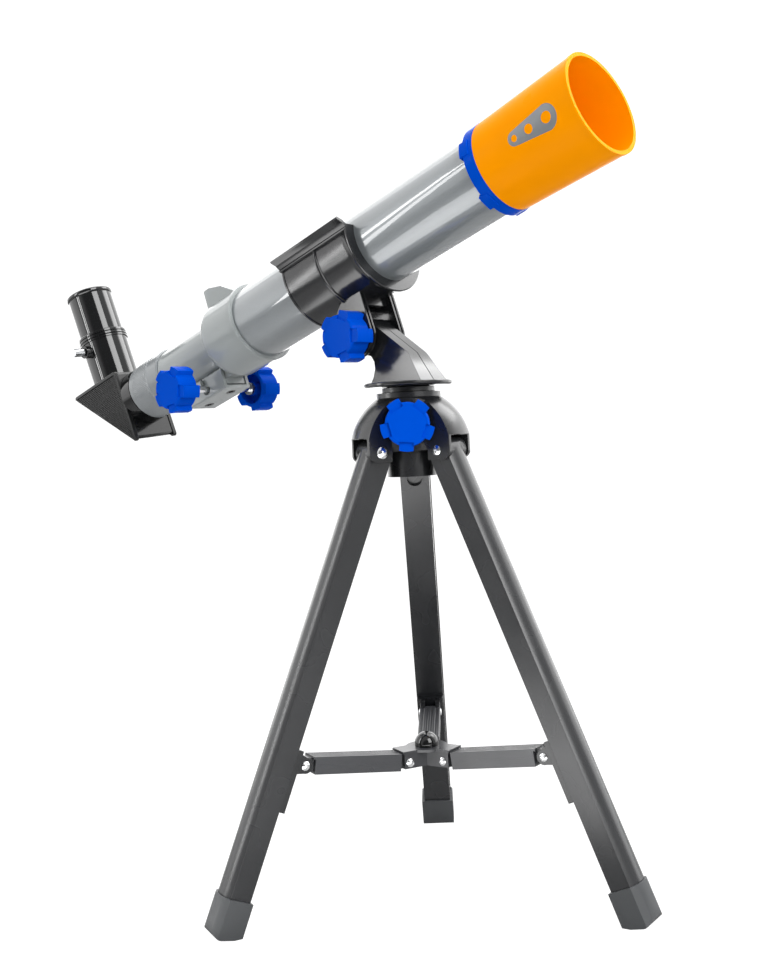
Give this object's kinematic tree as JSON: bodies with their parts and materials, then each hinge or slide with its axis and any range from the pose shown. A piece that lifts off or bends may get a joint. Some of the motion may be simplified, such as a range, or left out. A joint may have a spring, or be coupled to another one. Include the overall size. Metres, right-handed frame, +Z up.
{
  "type": "refractor telescope on table tripod",
  "caption": "Small refractor telescope with a flared hood, geared focuser, angled eyepiece and an arm mount on a folding table tripod.",
  "frame": {"origin": "on the floor, on the axis of the tripod and of the azimuth turntable", "axes": "+Z up, +X the horizontal heading of the tube towards its objective, +Y to the left of a viewer at the eyepiece"},
  "size_m": [0.4832, 0.2586, 0.4796],
  "materials": {
    "head_plastic": "moulded, fine satin grain, dark grey",
    "leg_plastic": "satin dark grey with a soft sheen",
    "foot_rubber": "soft matt rubber",
    "spreader_plastic": "ribbed satin grey",
    "ball_plastic": "glossy black",
    "chrome": "bright nickel",
    "steel": "zinc-plated",
    "mount_plastic": "glossy dark grey",
    "knob_blue": "glossy royal blue",
    "ring_blue": "glossy royal blue",
    "tube_silver": "silver-grey lacquer",
    "hood_orange": "glossy orange",
    "inlay_grey": "satin grey",
    "housing_grey": "glossy light grey",
    "inner_black": "matt black",
    "lens_glass": "coated optical glass",
    "mirror": "front-silvered",
    "diagonal_black": "black with a leather grain inside a smooth rim",
    "eyepiece_black": "satin black",
    "rack_black": "acetal"
  },
  "bodies": {
    "tripod": {"tripod_head": "head_plastic", "leg_1": "leg_plastic", "leg_2": "leg_plastic", "leg_3": "leg_plastic", "foot_1": "foot_rubber", "foot_2": "foot_rubber", "foot_3": "foot_rubber", "bracket_1": "head_plastic", "bracket_2": "head_plastic", "bracket_3": "head_plastic", "leg_bolts": "chrome", "bracket_bolts": "chrome"},
    "hub": {"spreader_hub": "head_plastic", "hub_bolts": "chrome", "lift_ball": "ball_plastic"},
    "arm_1": {"spreader_arm_1": "spreader_plastic"},
    "arm_2": {"spreader_arm_2": "spreader_plastic"},
    "arm_3": {"spreader_arm_3": "spreader_plastic"},
    "turntable": {"azimuth_disc": "mount_plastic", "azimuth_spindle": "head_plastic", "spindle_screw": "steel", "mount_arm": "mount_plastic"},
    "azimuth_clamp": {"azimuth_knob": "knob_blue", "azimuth_screw": "steel"},
    "tube": {"tube_cradle": "mount_plastic", "altitude_bolt": "steel", "main_tube": "tube_silver", "front_ring": "ring_blue", "lens_cell": "inner_black", "crown_lens": "lens_glass", "flint_lens": "lens_glass", "lens_retainer": "inner_black", "light_baffle": "inner_black", "dew_shield": "hood_orange", "hood_inlay": "inlay_grey", "focuser_housing": "housing_grey", "gear_cover": "housing_grey", "cover_screws": "steel"},
    "altitude_clamp": {"altitude_knob": "knob_blue"},
    "drawtube": {"drawtube": "tube_silver", "end_ring": "housing_grey", "rack": "rack_black"},
    "focus_drive": {"focus_shaft": "chrome", "pinion": "rack_black", "focus_knob_left": "knob_blue", "focus_knob_right": "knob_blue", "knob_washers": "chrome"},
    "diagonal": {"diagonal_body": "diagonal_black", "diagonal_covers": "diagonal_black", "diagonal_mirror": "mirror", "diagonal_nose": "chrome", "eyepiece_holder": "eyepiece_black"},
    "eyepiece_clamp": {"thumbscrew": "chrome"},
    "eyepiece": {"eyepiece_body": "eyepiece_black", "eyepiece_cap": "eyepiece_black", "eye_lens": "lens_glass", "field_lens": "lens_glass"}
  },
  "joints": [
    {"name": "hub_lift", "type": "slide", "parent": "tripod", "child": "hub", "axis": [0, 0, 1], "range_m": [0, 0.018]},
    {"name": "arm_1_fold", "type": "hinge", "parent": "hub", "child": "arm_1", "pos_m": [0.01484, 0.00216, 0.0818], "axis": [-0.1444, 0.9895, 0], "range_deg": [0, 15]},
    {"name": "arm_2_fold", "type": "hinge", "parent": "hub", "child": "arm_2", "pos_m": [-0.0093, 0.01177, 0.0818], "axis": [-0.7848, -0.6198, 0], "range_deg": [0, 15]},
    {"name": "arm_3_fold", "type": "hinge", "parent": "hub", "child": "arm_3", "pos_m": [-0.00555, -0.01394, 0.0818], "axis": [0.9291, -0.3697, 0], "range_deg": [0, 15]},
    {"name": "azimuth_turn", "type": "hinge", "parent": "tripod", "child": "turntable", "pos_m": [0, 0, 0.3099], "axis": [0, 0, 1], "continuous": true},
    {"name": "azimuth_knob_turn", "type": "hinge", "parent": "tripod", "child": "azimuth_clamp", "pos_m": [0.01859, -0.02354, 0.2867], "axis": [0.6198, -0.7848, 0], "continuous": true},
    {"name": "altitude_tilt", "type": "hinge", "parent": "turntable", "child": "tube", "pos_m": [-0.028, 0, 0.3423], "axis": [0, -1, 0], "range_deg": [-33, 37]},
    {"name": "altitude_knob_turn", "type": "hinge", "parent": "tube", "child": "altitude_clamp", "pos_m": [-0.028, -0.02, 0.3423], "axis": [0, -1, 0], "continuous": true},
    {"name": "focus_slide", "type": "slide", "parent": "tube", "child": "drawtube", "axis": [-0.9505, 0, -0.3107], "range_m": [0, 0.05]},
    {"name": "focus_turn", "type": "hinge", "parent": "tube", "child": "focus_drive", "pos_m": [-0.17525, 0, 0.319], "axis": [0, -1, 0], "range_deg": [0, 637.6]},
    {"name": "diagonal_turn", "type": "hinge", "parent": "drawtube", "child": "diagonal", "pos_m": [-0.24296, 0, 0.32401], "axis": [0.9505, 0, 0.3107], "range_deg": [-90, 90]},
    {"name": "eyepiece_clamp_turn", "type": "hinge", "parent": "diagonal", "child": "eyepiece_clamp", "pos_m": [-0.29706, -0.02523, 0.35404], "axis": [0.0217, -0.9976, -0.0663], "continuous": true},
    {"name": "eyepiece_slide", "type": "slide", "parent": "diagonal", "child": "eyepiece", "axis": [-0.3099, -0.0698, 0.9482], "range_m": [0, 0.025]}
  ],
  "couplings": [
    {"joint": "arm_1_fold", "follows": "hub_lift", "rad_per_m": 14.498},
    {"joint": "arm_2_fold", "follows": "hub_lift", "rad_per_m": 14.498},
    {"joint": "arm_3_fold", "follows": "hub_lift", "rad_per_m": 14.498},
    {"joint": "focus_turn", "follows": "focus_slide", "rad_per_m": 222.22}
  ]
}
